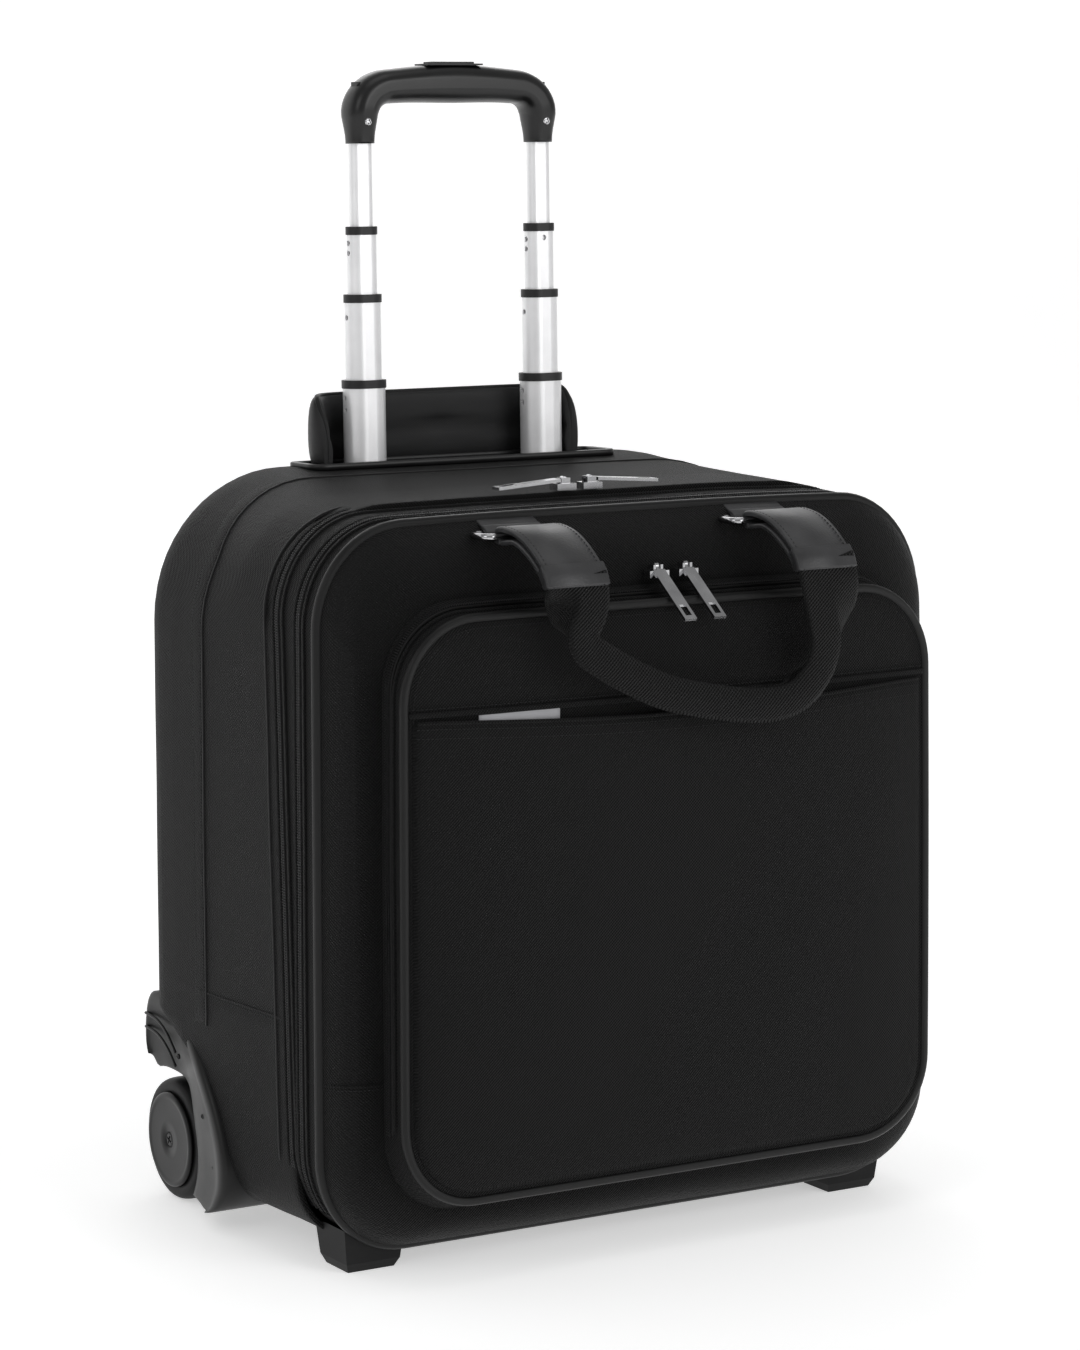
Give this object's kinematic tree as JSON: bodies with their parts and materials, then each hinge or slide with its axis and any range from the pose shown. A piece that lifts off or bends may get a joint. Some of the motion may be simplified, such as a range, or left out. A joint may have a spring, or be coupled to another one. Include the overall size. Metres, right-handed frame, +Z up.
{
  "type": "rolling laptop case",
  "caption": "Soft-sided rolling laptop case with a telescopic handle, a front pocket, a webbing carry handle and inset rear wheels.",
  "frame": {"origin": "on the floor, below the middle of the whole case from the carry handle's front to the backs of the wheels", "axes": "+Z up, -Y towards the front of the case (the pocket and the carry handle), +X to the case's right as seen from its front"},
  "size_m": [0.425, 0.3235, 0.6882],
  "materials": {
    "fabric": "fine ballistic weave, matte black",
    "lining": "grey lining cloth",
    "trim_leather": "smooth black leather-look trim",
    "zip_tape": "woven tape with a nylon coil",
    "moulded": "fine textured moulding",
    "grip": "soft-touch rubber",
    "tube": "satin anodised",
    "tyre": "smooth black polyurethane",
    "steel": "zinc plated",
    "button": "satin silver",
    "zip_metal": "dark nickel plated"
  },
  "bodies": {
    "case": {"rear_shell": "fabric", "bottom_panel": "fabric", "back_board": "lining", "laptop_sleeve": "lining", "sleeve_strap": "lining", "bay_cup": "moulded", "outer_tubes": "tube", "outer_collars": "moulded", "tube_bracket": "moulded", "bracket_screws": "steel", "wheel_housing_left": "moulded", "wheel_housing_right": "moulded", "axles": "steel", "foot_left": "moulded", "foot_right": "moulded", "foot_screws": "steel", "main_zip": "zip_tape"},
    "flap": {"handle_flap": "fabric"},
    "stage_1": {"stage_1_tubes": "tube", "stage_1_bushes": "moulded"},
    "stage_2": {"stage_2_tubes": "tube", "stage_2_bushes": "moulded"},
    "stage_3": {"stage_3_tubes": "tube", "stage_3_bushes": "moulded"},
    "stage_4": {"stage_4_tubes": "tube", "stage_4_bushes": "moulded", "grip_upper": "grip", "grip_lower": "grip", "button_bezel": "moulded", "grip_screws": "steel", "button_spring": "steel"},
    "release": {"push_button": "button", "release_yoke": "steel"},
    "wheel_left": {"tyre_left": "tyre", "hub_left": "moulded", "hub_cap_left": "moulded", "bearings_left": "steel"},
    "wheel_right": {"tyre_right": "tyre", "hub_right": "moulded", "hub_cap_right": "moulded", "bearings_right": "steel"},
    "band": {"expander_band": "fabric", "expander_zip": "zip_tape"},
    "front": {"front_shell": "fabric", "front_piping": "fabric", "pocket_shell": "fabric", "slip_panel": "fabric", "pocket_zip": "zip_tape", "handle_anchors": "trim_leather"},
    "rings": {"handle_rings": "steel"},
    "strap": {"handle_tabs": "trim_leather", "handle_webbing": "fabric"},
    "main_head_left": {"main_slider_left": "zip_metal"},
    "main_tab_left": {"main_pull_left": "zip_metal"},
    "main_head_right": {"main_slider_right": "zip_metal"},
    "main_tab_right": {"main_pull_right": "zip_metal"},
    "pocket_head_left": {"pocket_slider_left": "zip_metal"},
    "pocket_tab_left": {"pocket_pull_left": "zip_metal"},
    "pocket_head_right": {"pocket_slider_right": "zip_metal"},
    "pocket_tab_right": {"pocket_pull_right": "zip_metal"}
  },
  "joints": [
    {"name": "stage_1_slide", "type": "slide", "parent": "case", "child": "stage_1", "axis": [0, 0.0227, 0.9997], "range_m": [-0.112, 0.033]},
    {"name": "stage_2_slide", "type": "slide", "parent": "stage_1", "child": "stage_2", "axis": [0, 0.0227, 0.9997], "range_m": [-0.047, 0.098]},
    {"name": "stage_3_slide", "type": "slide", "parent": "stage_2", "child": "stage_3", "axis": [0, 0.0227, 0.9997], "range_m": [-0.036, 0.109]},
    {"name": "stage_4_slide", "type": "slide", "parent": "stage_3", "child": "stage_4", "axis": [0, 0.0227, 0.9997], "range_m": [-0.048, 0.099]},
    {"name": "button_push", "type": "slide", "parent": "stage_4", "child": "release", "axis": [0, -0.0227, -0.9997], "range_m": [0, 0.003], "stiffness_N_per_m": 1500, "springref_m": -0.0015, "deforming": ["button_spring"]},
    {"name": "wheel_left_spin", "type": "hinge", "parent": "case", "child": "wheel_left", "pos_m": [-0.186, 0.12425, 0.0375], "axis": [1, 0, 0], "continuous": true},
    {"name": "wheel_right_spin", "type": "hinge", "parent": "case", "child": "wheel_right", "pos_m": [0.186, 0.12425, 0.0375], "axis": [1, 0, 0], "continuous": true},
    {"name": "flap_hinge", "type": "hinge", "parent": "case", "child": "flap", "pos_m": [0, 0.14825, 0.4458], "axis": [-1, 0, 0], "range_deg": [0, 95]},
    {"name": "lid_hinge", "type": "hinge", "parent": "case", "child": "band", "pos_m": [0, -0.08175, 0.012], "axis": [1, 0, 0], "range_deg": [0, 90]},
    {"name": "expander_hinge", "type": "hinge", "parent": "band", "child": "front", "pos_m": [0, -0.08175, 0.012], "axis": [1, 0, 0], "range_deg": [0, 4]},
    {"name": "ring_hinge", "type": "hinge", "parent": "front", "child": "rings", "pos_m": [0, -0.08775, 0.423], "axis": [-1, 0, 0], "range_deg": [0, 90]},
    {"name": "strap_hinge", "type": "hinge", "parent": "rings", "child": "strap", "pos_m": [0, -0.10525, 0.423], "axis": [-1, 0, 0], "range_deg": [0, 81]},
    {"name": "main_slider_left_run", "type": "slide", "parent": "case", "child": "main_head_left", "axis": [-1, 0, 0], "range_m": [0, 0.125]},
    {"name": "main_pull_left_hinge", "type": "hinge", "parent": "main_head_left", "child": "main_tab_left", "pos_m": [-0.014, -0.0303, 0.445], "axis": [0, 1, 0], "range_deg": [0, 120]},
    {"name": "main_slider_right_run", "type": "slide", "parent": "case", "child": "main_head_right", "axis": [1, 0, 0], "range_m": [0, 0.135]},
    {"name": "main_pull_right_hinge", "type": "hinge", "parent": "main_head_right", "child": "main_tab_right", "pos_m": [0.004, -0.0303, 0.445], "axis": [0, -1, 0], "range_deg": [0, 120]},
    {"name": "pocket_slider_left_run", "type": "slide", "parent": "front", "child": "pocket_head_left", "axis": [-1, 0, 0], "range_m": [0, 0.132]},
    {"name": "pocket_pull_left_hinge", "type": "hinge", "parent": "pocket_head_left", "child": "pocket_tab_left", "pos_m": [0, -0.10905, 0.4007], "axis": [-1, 0, 0], "range_deg": [0, 120]},
    {"name": "pocket_slider_right_run", "type": "slide", "parent": "front", "child": "pocket_head_right", "axis": [1, 0, 0], "range_m": [0, 0.109]},
    {"name": "pocket_pull_right_hinge", "type": "hinge", "parent": "pocket_head_right", "child": "pocket_tab_right", "pos_m": [0.02, -0.10905, 0.4007], "axis": [-1, 0, 0], "range_deg": [0, 120]}
  ],
  "couplings": [
    {"joint": "strap_hinge", "follows": "ring_hinge", "ratio": 0.9}
  ]
}
